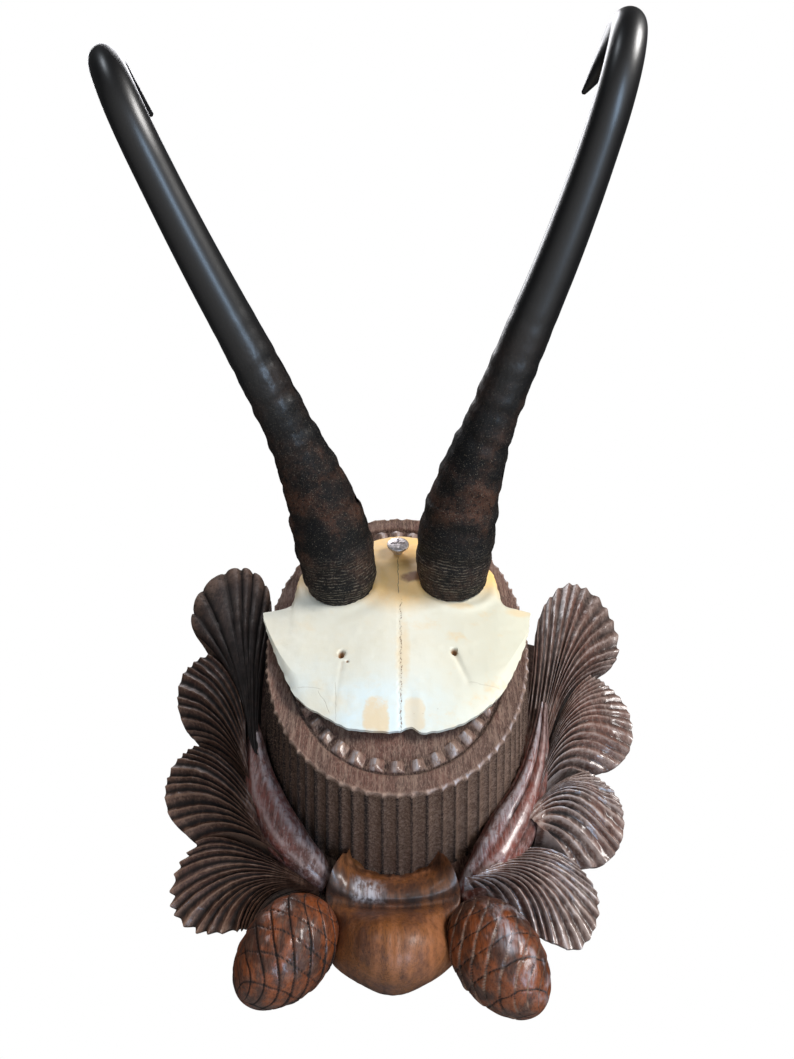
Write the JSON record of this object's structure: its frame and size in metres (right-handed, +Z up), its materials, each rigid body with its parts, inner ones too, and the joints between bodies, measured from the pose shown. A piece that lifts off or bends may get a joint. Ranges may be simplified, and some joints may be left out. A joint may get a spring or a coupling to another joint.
{
  "type": "chamois horn trophy",
  "caption": "Wall trophy: a pair of dark hooked horns on a pale skull plate, screwed to an oval carved wooden plaque with oak leaves, a round pendant and cones.",
  "frame": {"origin": "on the plaque's back face, behind the middle of the oval drum", "axes": "+Y into the wall, +Z up, +X to the viewer's right"},
  "size_m": [0.1854, 0.2351, 0.1972],
  "materials": {
    "carved_plaque": "dark stained and varnished carving",
    "skull_plate": "bleached bone, slightly yellowed",
    "horn_left": "polished dark horn with fine rings",
    "horn_right": "polished dark horn with fine rings",
    "screw": "plain zinc plated"
  },
  "bodies": {
    "root": {"carved_plaque": "carved_plaque", "skull_plate": "skull_plate", "horn_left": "horn_left", "horn_right": "horn_right", "screw": "screw"}
  },
  "joints": []
}
